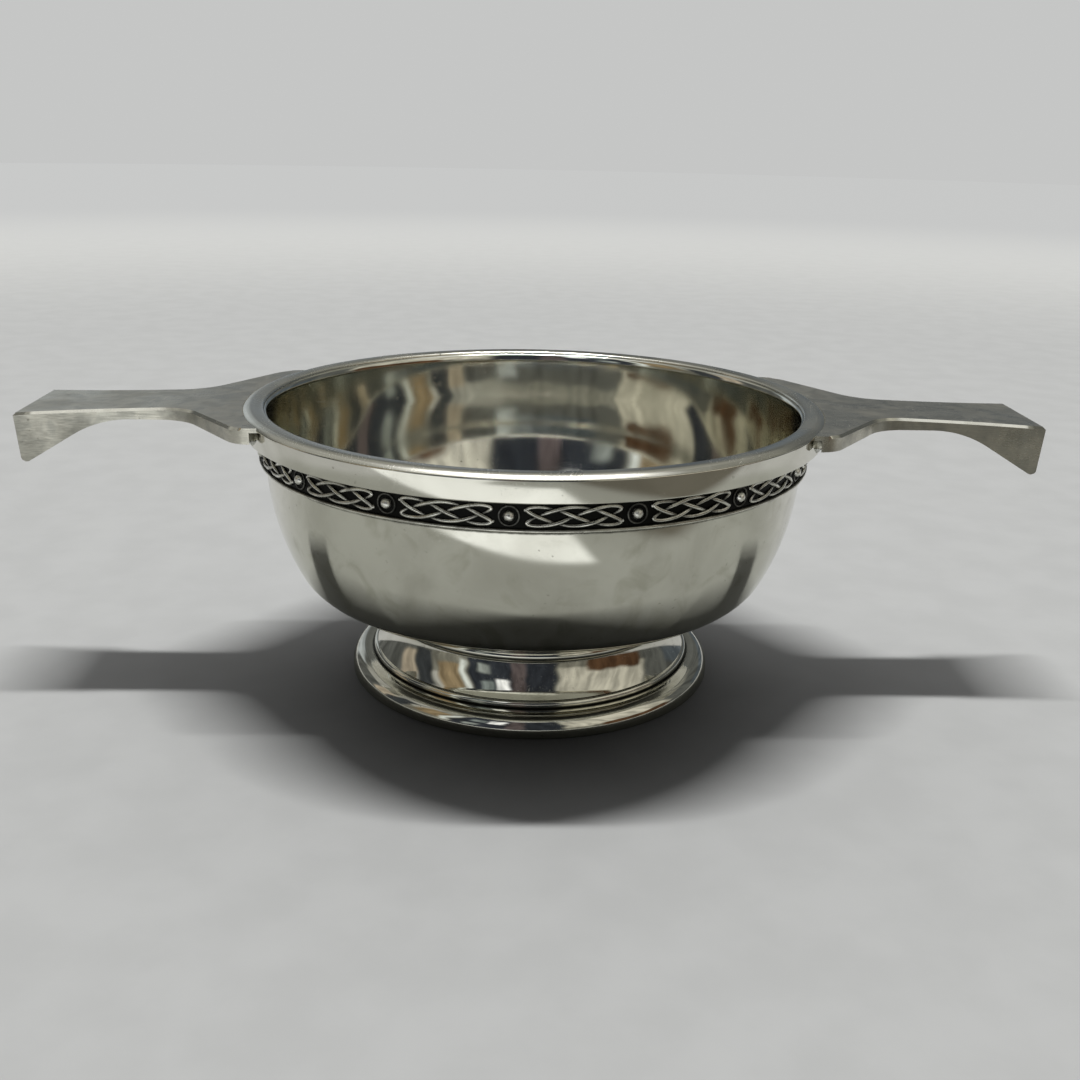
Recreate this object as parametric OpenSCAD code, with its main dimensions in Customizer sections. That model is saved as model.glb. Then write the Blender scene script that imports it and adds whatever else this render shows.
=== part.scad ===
// A footed two-lugged drinking bowl of polished pewter, with a soldered band of knotwork.
// Millimetres, +Z up, origin on the table under the bowl's axis, lugs along X.

/* [Bowl] */
// Outside diameter across the rim
rim_d = 120; // [104:1:144]
// Height from the table to the top of the rim
rim_h = 59.6; // [54:0.1:68]
// Thickness of the spun bowl
wall = 0.9; // [0.7:0.1:1.3]
// Radius of the long curve down the belly
belly_r = 50; // [48:1:60]
// Radius of the tight turn from belly to base
turn_r = 9; // [7:0.5:16]
// Radius of the shallow curve of the base
base_r = 150; // [120:1:200]
// Height of the middle of the base above the table
base_h = 14; // [12.5:0.1:15.5]
// Rounding of the wall's inner edge at the top
lip_r = 0.6; // [0.2:0.1:0.7]

/* [Rim and collar] */
// Height of the half-round wire that caps the rim
rim_wire_h = 0.75; // [0.5:0.05:1.2]
// Ledge that the rim wire leaves free on top of the wall
rim_ledge = 0.7; // [0.3:0.1:0.8]
// Thickness of the collar ring round the wall
collar_t = 4.1; // [3:0.1:5]
// Height of the collar ring
collar_h = 4.3; // [3.4:0.1:5.4]
// Bevel on the collar's outer edges
collar_bevel = 0.3; // [0.1:0.05:0.6]

/* [Knotwork band] */
// Height of the band
band_h = 5.2; // [4.6:0.1:6.4]
// Thickness of the strip that carries the knotwork
strip_t = 0.9; // [0.6:0.05:1.2]
// Height of the plain rail along the band's upper edge
rail_h = 0.8; // [0.5:0.05:1.2]
// Number of knot panels, and of bosses between them
panels = 16; // [12:1:20]
// Angle of the first boss from the front, in degrees
boss_start = -5.3; // [-11:0.1:11]
// How far the straps stand above the ground
relief = 0.5; // [0.3:0.05:0.7]
// Width of a strap
strap_w = 0.62; // [0.45:0.01:0.75]
// Gap beside a strap where another passes under it
strap_gap = 0.14; // [0.08:0.01:0.2]
// Radius of a boss
boss_r = 1; // [0.8:0.05:1.3]
// Radius of the ring round a boss
boss_ring_r = 1.75; // [1.6:0.05:1.85]
// Thickness of the ring round a boss
boss_ring_t = 0.46; // [0.2:0.02:0.5]
// Clear space between a knot and the ring round a boss
knot_space = 0.65; // [0.4:0.05:0.9]
// Radius of the pellets beside a boss
pellet_r = 0.32; // [0.2:0.02:0.4]
// Distance of the pellets from a boss along the band
pellet_out = 2.75; // [2.5:0.05:3]
// Distance of the pellets above and below the middle of a boss
pellet_rise = 1.1; // [0.8:0.05:1.3]
// Height of the border wire under the band
border_h = 0.8; // [0.6:0.05:1.2]
// How far the border wire stands out from the wall
border_t = 1.4; // [1:0.05:1.7]

/* [Lugs] */
// Distance between the ends of the two lugs
lug_span = 209.5; // [180:0.5:240]
// Width of a lug at its end
lug_tip_w = 23; // [18:0.5:28]
// Width of a lug at its stem
lug_stem_w = 18.7; // [14:0.1:22]
// Width of a lug's root along the rim
lug_root_w = 57; // [46:0.5:64]
// Distance of a lug's narrowest place from the rim
lug_stem_out = 19; // [17:0.5:24]
// Angle at which the root flares from the lug's length, in degrees
lug_flare = 54; // [48:1:62]
// Radius in the corner between stem and flare
lug_flare_r = 10; // [6:0.5:12]
// How far the flare's outer corner stands out from the rim's chord
lug_shoulder = 4.4; // [3.6:0.1:6]
// Rounding of the flare's outer corner
lug_shoulder_r = 6; // [3:0.5:6.5]
// Step from the rim's top down to the lug's top at the root
lug_step = 0.65; // [0.2:0.05:0.8]
// Angle at which the lug's top slopes down to the end, in degrees
lug_droop = 1.9; // [0.5:0.1:3]
// Thickness of a lug at the root
lug_t = 2.95; // [2.6:0.05:3.6]
// Depth of a lug at its end
lug_tip_h = 10.8; // [7:0.1:12]
// How far the end leans in towards its lower edge
lug_lean = 0.8; // [0:0.1:1.5]
// Rounding of the end's lower edge
lug_tip_r = 1; // [0.4:0.1:1.6]
// Angle of the underside behind the end, in degrees
lug_drop = 31; // [24:1:38]
// Radius where the underside turns down
lug_drop_r = 22; // [14:1:26]
// Width of the relief between a root's ends and the collar
root_relief = 1.3; // [0.8:0.1:1.6]
// Length of the relief along a root's ends
root_relief_l = 2.6; // [1.5:0.1:4]
// Thickness of the skin left over the relief
root_skin = 0.7; // [0.5:0.1:1]
// Width and height of the solder seam under a lug's root
lug_solder_w = 0.9; // [0.5:0.1:1.4]

/* [Foot] */
// Diameter across the foot
foot_d = 78.8; // [76:0.2:88]
// Height of the foot's upright edge
foot_edge_h = 1.2; // [0.8:0.1:1.8]
// Diameter of the ridge above the flange
ridge_d = 69.4; // [66:0.2:72.4]
// Height of the ridge above the table
ridge_h = 6.4; // [5.8:0.1:7.4]
// Rounding of the ridge
ridge_lip = 0.8; // [0.5:0.1:1]
// Height of the upright step under the ridge
ridge_step = 2.1; // [1.6:0.1:2.6]
// Diameter of the neck
neck_d = 62; // [56:0.5:66]
// Height of the plain neck between bead and bowl
neck_rise = 1.55; // [1.4:0.05:2.4]
// Radius of the neck's bead
bead_r = 1.5; // [1:0.1:1.8]
// Thickness of the spun foot
foot_t = 1.3; // [1:0.1:1.6]
// Width and height of the solder seam between neck and bowl
foot_solder_w = 1.3; // [0.8:0.1:1.3]

/* [Hidden] */

// Sides drawn for a full turn, and for a turn of the bowl's long curves.
$fn = 120;
long_fn = 256;

pewter = [0.67, 0.67, 0.63];
bright_pewter = [0.76, 0.76, 0.72];
dark_pewter = [0.45, 0.45, 0.42];
cool_pewter = [0.6, 0.62, 0.63];
solder_grey = [0.5, 0.5, 0.49];

// Points per quarter turn of a lug's rounded corners.
corner_steps = 12;
// Steps along one pass of a knot's strap, and along a crossing.
strap_steps = 10;
crossing_steps = 2;
// Overlap that joins solids made in steps.
weld = 0.1;

function unit(v) = v / norm(v);
function turn(a) = [cos(a), sin(a)];
// Points of an arc about c, from angle a0 to a1.
function arc(c, r, a0, a1, n = corner_steps) =
    [for (i = [0 : n]) c + r * turn(a0 + (a1 - a0) * i / n)];
// The intersection of two circles that lies further from the axis.
function far_meet(c0, r0, c1, r1) =
    let (
        d = norm(c1 - c0),
        a = (r0 * r0 - r1 * r1 + d * d) / (2 * d),
        h = sqrt(r0 * r0 - a * a),
        e = unit(c1 - c0),
        m = c0 + a * e,
        p = m + h * [e.y, -e.x],
        q = m - h * [e.y, -e.x]
    )
    p.x > q.x ? p : q;

// Heights of the rings, stacked down from the rim.
rim_r = rim_d / 2;
wall_top = rim_h - rim_wire_h;
band_top = wall_top - collar_h;
band_low = band_top - band_h;
border_low = band_low - border_h;

// The wall stands upright inside the rings, and the belly's long curve starts under them.
wall_r = rim_r - collar_t;
belly_c = [wall_r - belly_r, border_low];
base_c = [0, base_h + base_r];
turn_c = far_meet(belly_c, belly_r - turn_r, base_c, base_r - turn_r);
function base_z(r) = base_c.y - sqrt(base_r * base_r - r * r);

// A cut large enough to pass the bowl on any side.
reach = 2 * rim_d;

// Half of the bowl's upright section, drawn in by inset on every side: the belly and base
// curves meet in a tight round turn.
module bowl_section(inset) {
    intersection() {
        square([reach, border_low]);
        union() {
            difference() {
                intersection() {
                    translate(belly_c) circle(belly_r - inset, $fn = long_fn);
                    translate(base_c) circle(base_r - inset, $fn = long_fn);
                }
                polygon([turn_c, turn_c + reach * unit(turn_c - belly_c),
                    turn_c + reach * unit(turn_c - base_c)]);
            }
            translate(turn_c) circle(turn_r - inset);
        }
    }
    translate([0, border_low]) square([wall_r - inset, wall_top - border_low]);
}

// Spun bowl of even thickness, with its lip rounded on the inside.
module bowl() {
    color(pewter)
    rotate_extrude()
    difference() {
        bowl_section(0);
        bowl_section(wall);
        translate([wall_r - wall, wall_top - lip_r])
        difference() {
            square(lip_r);
            translate([lip_r, 0]) circle(lip_r);
        }
    }
}

// Low half-round wire that caps the wall and the collar.
module rim_wire() {
    inner = wall_r - wall + rim_ledge;
    half = (rim_r - inner) / 2;
    r = (half * half + rim_wire_h * rim_wire_h) / (2 * rim_wire_h);
    color(bright_pewter)
    translate([0, 0, wall_top])
    rotate_extrude()
    intersection() {
        translate([inner + half, rim_wire_h - r]) circle(r, $fn = long_fn);
        translate([inner, 0]) square([2 * half, rim_wire_h]);
    }
}

// Heavy plain ring round the wall, which carries the lugs.
module collar() {
    color(pewter)
    rotate_extrude()
    polygon([
        [wall_r, band_top],
        [rim_r - collar_bevel, band_top],
        [rim_r, band_top + collar_bevel],
        [rim_r, wall_top - collar_bevel],
        [rim_r - collar_bevel, wall_top],
        [wall_r, wall_top]
    ]);
}

// Sizes of the knotwork, on the drum that the strip's ground makes.
ground_r = wall_r + strip_t;
strap_r = ground_r + relief;
knot_z = (band_low + band_top - rail_h) / 2;
knot_half_h = (band_h - rail_h - strap_w) / 2 - strap_gap;
panel_angle = 360 / panels;
knot_half_l = PI * ground_r / panels - boss_ring_r - boss_ring_t / 2 - knot_space - strap_w / 2;

// A knot is one closed strap, and t, from 0 to 360, is a place on it. The strap passes from
// end to end of the panel four times while it swings across the panel three times.
pass_l = 90;
passes = 4;
swings = 3;
swing_start = 45;
// How squarely the strap turns back at the panel's ends.
end_turn = 6;
function pass_wave(t) = 1 - 2 * abs(1 - ((t / pass_l + passes) % 2));
function eased(q) = q * (end_turn + 1 - pow(abs(q), end_turn)) / end_turn;
function knot_point(t) =
    [knot_half_l * eased(pass_wave(t)), -knot_half_h * sin(swings * t + swing_start)];
function knot_normal(t) =
    let (d = unit(knot_point(t + 1) - knot_point(t - 1)))
    [-d.y, d.x];
// Crossings, each as the place that goes over and the place that goes under.
crossings = [[30, 150], [225, 45], [60, 300], [285, 105], [120, 240], [165, 345], [330, 210]];
// Length of strap on either side of a crossing that hides what goes under.
crossing_l = 6.5;

// A stretch of strap from t0 to t1, with the given width.
module strap(t0, t1, width, steps) {
    places = [for (i = [0 : steps]) t0 + (t1 - t0) * i / steps];
    left = [for (t = places) knot_point(t) + knot_normal(t) * width / 2];
    right = [for (i = [steps : -1 : 0]) knot_point(places[i]) - knot_normal(places[i]) * width / 2];
    polygon(concat(left, right));
}

// The knot's outline, cut away on both sides of the strap wherever it goes over.
module knot_outline() {
    for (pass = [0 : passes - 1])
        difference() {
            strap(pass_l * pass, pass_l * (pass + 1), strap_w, strap_steps);
            for (c = crossings)
                if (floor(c[1] / pass_l) == pass)
                    strap(c[0] - crossing_l, c[0] + crossing_l, strap_w + 2 * strap_gap, crossing_steps);
        }
}

// Turns a shape drawn flat to face outwards at the front of the drum.
module on_drum() {
    translate([0, 0, knot_z])
    rotate([90, 0, 0])
    children();
}

// One knot at the front of the drum, as high as the relief.
module knot() {
    intersection() {
        rotate([0, 0, -90 - panel_angle / 2])
        rotate_extrude(angle = panel_angle)
        translate([ground_r - weld, band_low]) square([relief + weld, band_h]);
        on_drum()
        translate([0, 0, ground_r / 2])
        linear_extrude(height = ground_r)
        knot_outline();
    }
}

// Domed boss in a ring, with a pellet on either side, at the front of the drum.
module boss() {
    on_drum()
    translate([0, 0, ground_r]) {
        intersection() {
            sphere(boss_r);
            translate([0, 0, -strip_t / 2]) cylinder(r = boss_r, h = boss_r + strip_t);
        }
        rotate_extrude()
        translate([boss_ring_r, 0]) circle(boss_ring_t / 2);
    }
    for (side = [-1, 1])
        rotate([0, 0, side * pellet_out / ground_r * 180 / PI])
        on_drum()
        translate([0, side * pellet_rise, ground_r])
        sphere(pellet_r);
}

// Rolled strip with a rail along its upper edge, a closed knot in each panel and a boss
// between panels.
module knot_band() {
    color(dark_pewter) {
        rotate_extrude()
        polygon([
            [wall_r, band_low],
            [ground_r, band_low],
            [ground_r, band_top - rail_h],
            [strap_r, band_top - rail_h],
            [strap_r, band_top],
            [wall_r, band_top]
        ]);
        for (i = [0 : panels - 1])
            rotate([0, 0, boss_start + i * panel_angle]) {
                boss();
                rotate([0, 0, panel_angle / 2]) knot();
            }
    }
}

// Plain wire under the band, flat on the wall and round outside.
module border_wire() {
    r = border_h / 2;
    color(bright_pewter)
    translate([0, 0, border_low])
    rotate_extrude() {
        translate([wall_r, 0]) square([border_t - r, border_h]);
        translate([wall_r + border_t - r, r]) circle(r);
    }
}

// Places on a lug, measured along X from the bowl's axis.
lug_end = lug_span / 2;
stem_x = rim_r + lug_stem_out;
stem_half = lug_stem_w / 2;
tip_half = lug_tip_w / 2;
root_half = lug_root_w / 2;
root_x = sqrt(rim_r * rim_r - root_half * root_half);
shoulder = [root_x + lug_shoulder, root_half];
lug_top = rim_h - lug_step;
lug_low = lug_top - lug_t;
tip_top = lug_top - (lug_end - rim_r) * tan(lug_droop);
tip_low = tip_top - lug_tip_h;

// One side of a lug seen from above, from the end to the root: a long hollow curve to the
// stem, a round corner, the flare, and the root's rounded shoulder.
function lug_edge() =
    let (
        rise = tip_half - stem_half,
        run = lug_end - stem_x,
        side_r = (run * run + rise * rise) / (2 * rise),
        side_a = asin(run / side_r),
        meet_x = shoulder.x + (shoulder.y - stem_half) / tan(lug_flare),
        corner = [meet_x + lug_flare_r * tan(lug_flare / 2), stem_half + lug_flare_r],
        bulge = shoulder - lug_shoulder_r * [tan(lug_flare / 2), 1]
    )
    concat(
        arc([stem_x, stem_half + side_r], side_r, side_a - 90, -90),
        arc(corner, lug_flare_r, -90, -90 - lug_flare),
        arc(bulge, lug_shoulder_r, 90 - lug_flare, 90),
        [[0, root_half]]
    );

// A lug's side seen along Y, with the drop at its end, which leans in and is rounded below.
function lug_side() =
    let (
        low_x = lug_end - lug_lean,
        bend_x = low_x - (lug_low - tip_low) / tan(lug_drop),
        start_x = bend_x - lug_drop_r * tan(lug_drop / 2),
        lean = atan(lug_lean / lug_tip_h),
        sharp = 90 + lean - lug_drop,
        way = -(90 + lug_drop + lean) / 2,
        inside = [low_x, tip_low] - lug_tip_r / sin(sharp / 2) * turn(way)
    )
    concat(
        [[0, lug_top + rim_r * tan(lug_droop)], [0, lug_low]],
        arc([start_x, lug_low - lug_drop_r], lug_drop_r, 90, 90 - lug_drop),
        arc(inside, lug_tip_r, -90 - lug_drop, -lean),
        [[lug_end, tip_top]]
    );

// Cast lug that points along +X, cut to the collar, with its root's ends relieved.
module lug() {
    edge = lug_edge();
    outline = concat(edge, [for (i = [len(edge) - 1 : -1 : 0]) [edge[i].x, -edge[i].y]]);
    difference() {
        intersection() {
            linear_extrude(height = rim_h) polygon(outline);
            translate([0, root_half + root_relief, 0])
            rotate([90, 0, 0])
            linear_extrude(height = lug_root_w + 2 * root_relief)
            polygon(lug_side());
        }
        cylinder(r = rim_r, h = reach);
        for (side = [-1, 1])
            intersection() {
                cylinder(r = rim_r + root_relief, h = lug_top - root_skin);
                translate([0, side * root_half - root_relief_l, 0])
                cube([reach, 2 * root_relief_l, wall_top]);
            }
    }
}

module left_lug() {
    color(cool_pewter) rotate([0, 0, 180]) lug();
}

module right_lug() {
    color(cool_pewter) lug();
}

// Flat-faced seam of solder in the corner under a lug's root, along the collar.
module lug_seam() {
    half_angle = asin((root_half - root_relief_l) / rim_r);
    rotate([0, 0, -half_angle])
    rotate_extrude(angle = 2 * half_angle)
    polygon([[rim_r, lug_low - lug_solder_w], [rim_r + lug_solder_w, lug_low], [rim_r, lug_low]]);
}

module left_lug_solder() {
    color(solder_grey) rotate([0, 0, 180]) lug_seam();
}

module right_lug_solder() {
    color(solder_grey) lug_seam();
}

// Places on the foot, whose neck hangs from the bowl and whose flange stands on the table.
foot_r = foot_d / 2;
ridge_r = ridge_d / 2;
neck_r = neck_d / 2;
neck_h = base_z(neck_r) - neck_rise - 2 * bead_r;
flange_h = ridge_h - ridge_step;
// The hollow curve between neck and ridge, upright at the neck.
hollow_w = ridge_r - ridge_lip - neck_r;
hollow_h = neck_h - ridge_h;
hollow_r = (hollow_w * hollow_w + hollow_h * hollow_h) / (2 * hollow_w);
hollow_c = [neck_r + hollow_r, neck_h];
// The quarter round of the flange, between its level top and its upright edge.
round_r = flange_h - foot_edge_h;
round_c = [foot_r - round_r, foot_edge_h];

// Part of a round sheet about c, between two points that lie on its outer face.
module bent_sheet(c, outer, inner, from, to) {
    intersection() {
        difference() {
            translate(c) circle(outer);
            translate(c) circle(inner);
        }
        polygon([c, c + reach * unit(from - c), c + reach * unit(to - c)]);
    }
}

// Half of the foot's upright section, a sheet of even thickness.
module foot_section() {
    neck = [neck_r, neck_h];
    ridge = [ridge_r - ridge_lip, ridge_h];
    difference() {
        translate([neck_r - foot_t, neck_h]) square([foot_t, base_h]);
        translate(base_c) circle(base_r, $fn = long_fn);
    }
    intersection() {
        translate([neck_r, neck_h + bead_r]) circle(bead_r);
        translate([neck_r - foot_t, 0]) square(reach);
    }
    bent_sheet(hollow_c, hollow_r + foot_t, hollow_r, neck, ridge);
    translate(ridge - [0, ridge_lip]) circle(ridge_lip);
    translate([ridge_r - foot_t, flange_h - foot_t]) square([foot_t, ridge_step + foot_t - ridge_lip]);
    translate([ridge_r - foot_t, flange_h - foot_t]) square([round_c.x - ridge_r + foot_t, foot_t]);
    bent_sheet(round_c, round_r, round_r - foot_t, [round_c.x, flange_h], [foot_r, foot_edge_h]);
    translate([foot_r - foot_t, 0]) square([foot_t, foot_edge_h]);
}

// Spread foot: a bead under the bowl, a hollow neck, a ridge, and a round flange.
module foot() {
    color(pewter) rotate_extrude() foot_section();
}

// Flat-faced seam of solder in the corner between the neck and the bowl's underside, which
// it meets along the underside's slope.
module foot_solder() {
    edge_r = neck_r + foot_solder_w;
    edge = [edge_r, base_z(edge_r)];
    corner = [neck_r, edge.y - foot_solder_w * tan(asin(edge_r / base_r))];
    color(solder_grey)
    rotate_extrude()
    polygon([corner - [0, foot_solder_w], edge, corner]);
}

bowl();
rim_wire();
collar();
knot_band();
border_wire();
left_lug();
right_lug();
foot();
left_lug_solder();
right_lug_solder();
foot_solder();
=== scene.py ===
"""Footed two-lugged drinking bowl of pewter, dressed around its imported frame. Metres, +Z up."""
import math

import bmesh
import bpy
from mathutils import Matrix, Vector


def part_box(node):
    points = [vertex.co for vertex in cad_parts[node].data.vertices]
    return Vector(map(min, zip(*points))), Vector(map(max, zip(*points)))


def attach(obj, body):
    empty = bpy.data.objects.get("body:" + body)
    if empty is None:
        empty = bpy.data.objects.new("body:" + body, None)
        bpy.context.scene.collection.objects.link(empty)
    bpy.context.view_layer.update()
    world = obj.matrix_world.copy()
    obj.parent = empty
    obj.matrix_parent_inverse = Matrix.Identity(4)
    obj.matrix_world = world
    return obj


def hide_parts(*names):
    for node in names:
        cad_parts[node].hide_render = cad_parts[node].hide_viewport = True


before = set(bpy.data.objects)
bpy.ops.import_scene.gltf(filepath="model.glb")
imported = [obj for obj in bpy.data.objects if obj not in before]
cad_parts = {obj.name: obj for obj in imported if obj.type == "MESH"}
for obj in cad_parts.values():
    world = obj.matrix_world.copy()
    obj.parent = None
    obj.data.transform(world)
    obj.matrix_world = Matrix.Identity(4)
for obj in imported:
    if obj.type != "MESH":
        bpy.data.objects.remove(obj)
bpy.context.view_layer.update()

# Bowl. One sheet of pewter spun over a former: an upright wall to carry the rings, a round
# belly, a tight turn and a shallow base. The outside is buffed bright along its turning
# lines, and the inside is wiped clean, with water marks and fine scratches from use.
rim_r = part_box("rim_wire")[1].x
wall_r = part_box("bowl")[1].x
wall_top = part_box("bowl")[1].z
base_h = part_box("bowl")[0].z
ring_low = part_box("border_wire")[0].z
wall = 0.0009
belly_r = 0.05
turn_r = 0.009
base_r = 0.15
lip = Vector((0.0007, 0.0018))
TURN_STEPS = 288
ROUND_STEPS = 5
BELLY_STEPS = 40
CORNER_STEPS = 20
BASE_STEPS = 30
LIP_STEPS = 8
MERGE_GAP = 1e-7


def arc(center, radius, start, end, steps):
    """Points of an arc in the upright half plane, with angles in degrees from straight out."""
    points = []
    for i in range(steps + 1):
        angle = math.radians(start + (end - start) * i / steps)
        points.append(center + radius * Vector((math.cos(angle), math.sin(angle))))
    return points


def angle_of(point, center):
    """Direction of a point seen from a center, in degrees from straight out."""
    return math.degrees(math.atan2(point.y - center.y, point.x - center.x))


def outer_meet(center_a, radius_a, center_b, radius_b):
    """The crossing of two circles that lies further from the axis."""
    between = center_b - center_a
    along = (radius_a ** 2 - radius_b ** 2 + between.length_squared) / (2 * between.length)
    across = math.sqrt(radius_a ** 2 - along ** 2)
    unit = between.normalized()
    middle = center_a + along * unit
    side = across * Vector((unit.y, -unit.x))
    return max(middle + side, middle - side, key=lambda p: p.x)


def new_piece(name, shape, sharp_angle=35):
    """An object of a finished bmesh, shaded smooth except at edges sharper than an angle."""
    mesh = bpy.data.meshes.new(name)
    shape.to_mesh(mesh)
    shape.free()
    mesh.polygons.foreach_set("use_smooth", [True] * len(mesh.polygons))
    mesh.set_sharp_from_angle(angle=math.radians(sharp_angle))
    piece = bpy.data.objects.new(name, mesh)
    bpy.context.scene.collection.objects.link(piece)
    return piece


def turned(profile, closed, rounded=None, sweep=360, start=0):
    """A bmesh of a profile of (radius, height) points spun about the axis.

    rounded maps the number of a profile point to the radius of the bevel there."""
    shape = bmesh.new()
    verts = [shape.verts.new((p[0], 0, p[1])) for p in profile]
    pairs = list(zip(verts, verts[1:]))
    if closed:
        pairs.append((verts[-1], verts[0]))
    for pair in pairs:
        shape.edges.new(pair)
    for number, radius in (rounded or {}).items():
        bmesh.ops.bevel(shape, geom=[verts[number]], offset=radius, segments=ROUND_STEPS, profile=0.5,
                        affect="VERTICES", material=-1)
    bmesh.ops.rotate(shape, cent=(0, 0, 0), verts=shape.verts,
                     matrix=Matrix.Rotation(math.radians(start), 3, "Z"))
    bmesh.ops.spin(shape, geom=shape.verts[:] + shape.edges[:], cent=(0, 0, 0), axis=(0, 0, 1),
                   angle=math.radians(sweep), steps=TURN_STEPS, use_merge=sweep == 360)
    bmesh.ops.remove_doubles(shape, verts=shape.verts, dist=MERGE_GAP)
    if sweep != 360:
        bmesh.ops.holes_fill(shape, edges=[e for e in shape.edges if e.is_boundary], sides=0)
    bmesh.ops.recalc_face_normals(shape, faces=shape.faces)
    return shape


belly_c = Vector((wall_r - belly_r, ring_low))
base_c = Vector((0, base_h + base_r))
turn_c = outer_meet(belly_c, belly_r - turn_r, base_c, base_r - turn_r)


def bowl_face(inset):
    """One face of the bowl's section, from the wall's top to the axis."""
    turn_start = angle_of(turn_c, belly_c)
    turn_end = angle_of(turn_c, base_c)
    face = arc(belly_c, belly_r - inset, 0, turn_start, BELLY_STEPS)
    face += arc(turn_c, turn_r - inset, turn_start, turn_end, CORNER_STEPS)[1:]
    face += arc(base_c, base_r - inset, turn_end, -90, BASE_STEPS)[1:]
    return face


lip_edge = [Vector((wall_r, wall_top))]
for i in range(LIP_STEPS + 1):
    lift = math.radians(90 - 90 * i / LIP_STEPS)
    back = lip.x * (1 - math.cos(lift))
    down = lip.y * (1 - math.sin(lift))
    lip_edge.append(Vector((wall_r - wall + back, wall_top - down)))
bowl_shape = turned(bowl_face(0)[::-1] + lip_edge + bowl_face(wall), closed=False)
bowl = new_piece("spun_bowl", bowl_shape)
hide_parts("bowl")
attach(bowl, "root")


def add_node(tree, kind, inputs=None, **settings):
    """A node with its settings, and its inputs set to values or linked to sockets."""
    made = tree.nodes.new(kind)
    for name, value in settings.items():
        setattr(made, name, value)
    for key, value in (inputs or {}).items():
        if isinstance(value, bpy.types.NodeSocket):
            tree.links.new(value, made.inputs[key])
        else:
            made.inputs[key].default_value = value
    return made


def new_group(name, inputs, outputs):
    """An empty shader node group with number inputs and outputs."""
    tree = bpy.data.node_groups.new(name, "ShaderNodeTree")
    for label, value in inputs.items():
        socket = tree.interface.new_socket(label, in_out="INPUT", socket_type="NodeSocketFloat")
        socket.default_value = value
    for label in outputs:
        tree.interface.new_socket(label, in_out="OUTPUT", socket_type="NodeSocketFloat")
    return tree, tree.nodes.new("NodeGroupInput"), tree.nodes.new("NodeGroupOutput")


def math_node(tree, operation, a, b=0.0, c=0.0):
    """The output of a Math node."""
    return add_node(tree, "ShaderNodeMath", {0: a, 1: b, 2: c}, operation=operation).outputs[0]


def remap(tree, value, low, high, to_low=0.0, to_high=1.0, kind="SMOOTHSTEP"):
    """A value eased from one range to another."""
    inputs = {"Value": value, "From Min": low, "From Max": high, "To Min": to_low, "To Max": to_high}
    return add_node(tree, "ShaderNodeMapRange", inputs, interpolation_type=kind).outputs[0]


def noise(tree, vector, scale, detail, distortion=0.0):
    """The value of a noise texture."""
    inputs = {"Vector": vector, "Scale": scale, "Detail": detail, "Distortion": distortion}
    return add_node(tree, "ShaderNodeTexNoise", inputs).outputs[0]


def axis_place(tree, place):
    """The distance of a place from the axis, and its height."""
    flat = add_node(tree, "ShaderNodeVectorMath", {0: place, 1: (1.0, 1.0, 0.0)}, operation="MULTIPLY")
    out = add_node(tree, "ShaderNodeVectorMath", {0: flat.outputs[0]}, operation="LENGTH").outputs["Value"]
    return out, add_node(tree, "ShaderNodeSeparateXYZ", {0: place}).outputs[2]


line_breaks = 2.5


def turning_lines_group():
    """Rings left by turning and buffing, which fade in and out round the piece."""
    tree, given, result = new_group("turning_lines", {"Fineness": 9000.0}, ["Lines"])
    place = add_node(tree, "ShaderNodeTexCoord").outputs["Object"]
    split = add_node(tree, "ShaderNodeSeparateXYZ", {0: place})
    out, height = axis_place(tree, place)
    round_way = math_node(tree, "ARCTAN2", split.outputs[1], split.outputs[0])
    ring = add_node(tree, "ShaderNodeCombineXYZ", {
        0: math_node(tree, "MULTIPLY", out, given.outputs["Fineness"]),
        1: math_node(tree, "MULTIPLY", height, given.outputs["Fineness"]),
        2: math_node(tree, "MULTIPLY", round_way, line_breaks),
    }).outputs[0]
    tree.links.new(noise(tree, ring, 1.0, 3.0), result.inputs["Lines"])
    return tree


patch_fineness = 1.7
scratch_stretch = (5200.0, 130.0, 5200.0)
dent_size = 42.0


def handling_group():
    """Marks of use: soft smears, small dark flecks, scratches in patches, and shallow dents."""
    sizes = {"Smear Size": 60.0, "Fleck Size": 900.0, "Scratch Size": 90.0}
    tree, given, result = new_group("handling", sizes, ["Smear", "Fleck", "Scratch", "Dent"])
    place = add_node(tree, "ShaderNodeTexCoord").outputs["Object"]
    smear = noise(tree, place, given.outputs["Smear Size"], 5.0, 0.6)
    tree.links.new(remap(tree, smear, 0.35, 0.68), result.inputs["Smear"])
    fleck = noise(tree, place, given.outputs["Fleck Size"], 2.0)
    patch_size = math_node(tree, "MULTIPLY", given.outputs["Smear Size"], patch_fineness)
    patch = noise(tree, place, patch_size, 2.0)
    fleck = math_node(tree, "MULTIPLY", remap(tree, fleck, 0.68, 0.74), remap(tree, patch, 0.45, 0.6))
    tree.links.new(fleck, result.inputs["Fleck"])
    cell = add_node(tree, "ShaderNodeTexVoronoi", {"Vector": place, "Scale": given.outputs["Scratch Size"]})
    spun = add_node(tree, "ShaderNodeVectorRotate", {"Vector": place, "Rotation": cell.outputs["Color"]},
                    rotation_type="EULER_XYZ")
    drawn = add_node(tree, "ShaderNodeVectorMath", {0: spun.outputs[0], 1: scratch_stretch},
                     operation="MULTIPLY").outputs[0]
    scratch = remap(tree, noise(tree, drawn, 1.0, 0.0), 0.72, 0.78)
    scratch = math_node(tree, "MULTIPLY", scratch, remap(tree, patch, 0.42, 0.55))
    tree.links.new(scratch, result.inputs["Scratch"])
    tree.links.new(noise(tree, place, dent_size, 1.0), result.inputs["Dent"])
    return tree


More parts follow.
